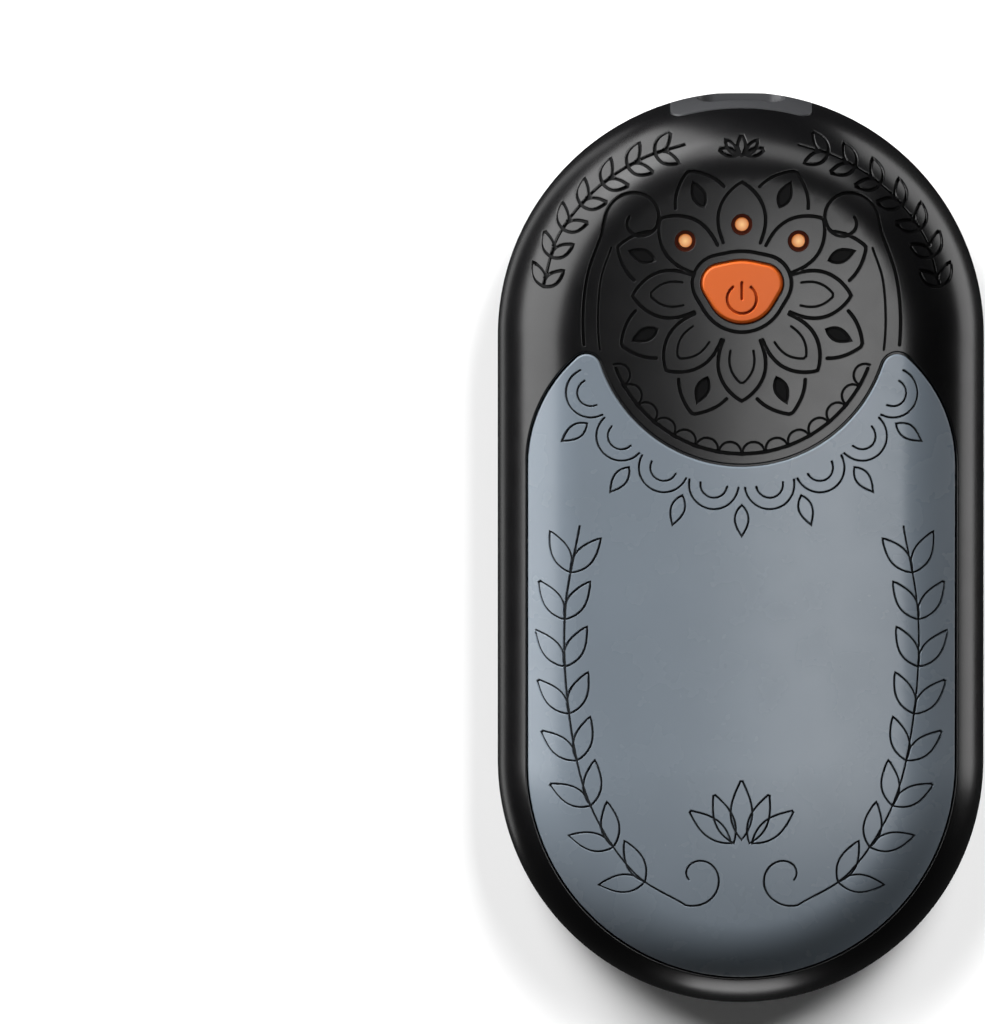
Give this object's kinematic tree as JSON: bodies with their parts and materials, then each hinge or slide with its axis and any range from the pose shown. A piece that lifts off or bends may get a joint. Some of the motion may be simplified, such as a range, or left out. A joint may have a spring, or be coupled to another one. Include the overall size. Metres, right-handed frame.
{
  "type": "rechargeable hand warmer",
  "caption": "Pebble-shaped rechargeable pocket hand warmer with a satin grip panel, a round-cornered power button, status lights and a charging socket in its end.",
  "frame": {"origin": "centre of the flat back face that the warmer lies on", "axes": "+X to the warmer's right as its face is read, +Y along its length to the charging end, +Z out of the front face"},
  "size_m": [0.056, 0.1048, 0.0204],
  "materials": {
    "black_shell": "satin black moulded plastic",
    "grey_panel": "satin metallic grey",
    "black_trim": "matte black",
    "orange_button": "matte orange",
    "amber_guide": "clear amber, lit",
    "green_board": "solder mask",
    "chip_plastic": "moulded black",
    "switch_metal": "plain",
    "light_chip": "lens",
    "socket_steel": "stamped steel",
    "gold_contact": "gold flash",
    "coil_ferrite": "moulded ferrite",
    "capacitor_ceramic": "ceramic",
    "white_nylon": "natural",
    "pouch_foil": "laminated foil",
    "nickel_tab": "nickel strip",
    "red_lead": "silicone",
    "black_lead": "silicone",
    "white_lead": "silicone",
    "foam": "closed-cell foam",
    "heat_aluminium": "mill finish",
    "film_heater": "polyimide film",
    "magnet_nickel": "nickel plated",
    "screw_steel": "zinc plated"
  },
  "bodies": {
    "housing": {"back_shell": "black_shell", "front_shell": "black_shell", "grip_panel": "grey_panel", "end_plate": "black_trim", "light_guide": "amber_guide", "main_board": "green_board", "switch_body": "chip_plastic", "status_lights": "light_chip", "socket_shell": "socket_steel", "socket_tongue": "chip_plastic", "socket_contacts": "gold_contact", "control_chip": "chip_plastic", "charge_coil": "coil_ferrite", "power_transistors": "chip_plastic", "board_capacitors": "capacitor_ceramic", "cell_connector": "white_nylon", "cell_pouch": "pouch_foil", "cell_tabs": "nickel_tab", "cell_guard_board": "green_board", "cell_lead_red": "red_lead", "cell_lead_black": "black_lead", "cell_tray": "white_nylon", "back_pad": "foam", "front_pad": "foam", "front_heat_plate": "heat_aluminium", "front_film_heater": "film_heater", "front_heater_leads": "white_lead", "back_heat_plate": "heat_aluminium", "back_film_heater": "film_heater", "back_heater_leads": "white_lead", "heat_sensor": "chip_plastic", "heat_sensor_leads": "black_lead", "magnets": "magnet_nickel", "housing_screws": "screw_steel", "board_screws": "screw_steel"},
    "button": {"power_button": "orange_button"},
    "plunger": {"switch_plunger": "switch_metal"}
  },
  "joints": [
    {"name": "button_press", "type": "slide", "parent": "housing", "child": "button", "axis": [0, 0, -1], "range_m": [0, 0.0003], "stiffness_N_per_m": 300, "springref_m": -0.003},
    {"name": "plunger_slide", "type": "slide", "parent": "housing", "child": "plunger", "axis": [0, 0, -1], "range_m": [0, 0.0003], "stiffness_N_per_m": 100, "springref_m": -0.003}
  ],
  "couplings": [
    {"joint": "plunger_slide", "follows": "button_press", "ratio": 1}
  ]
}
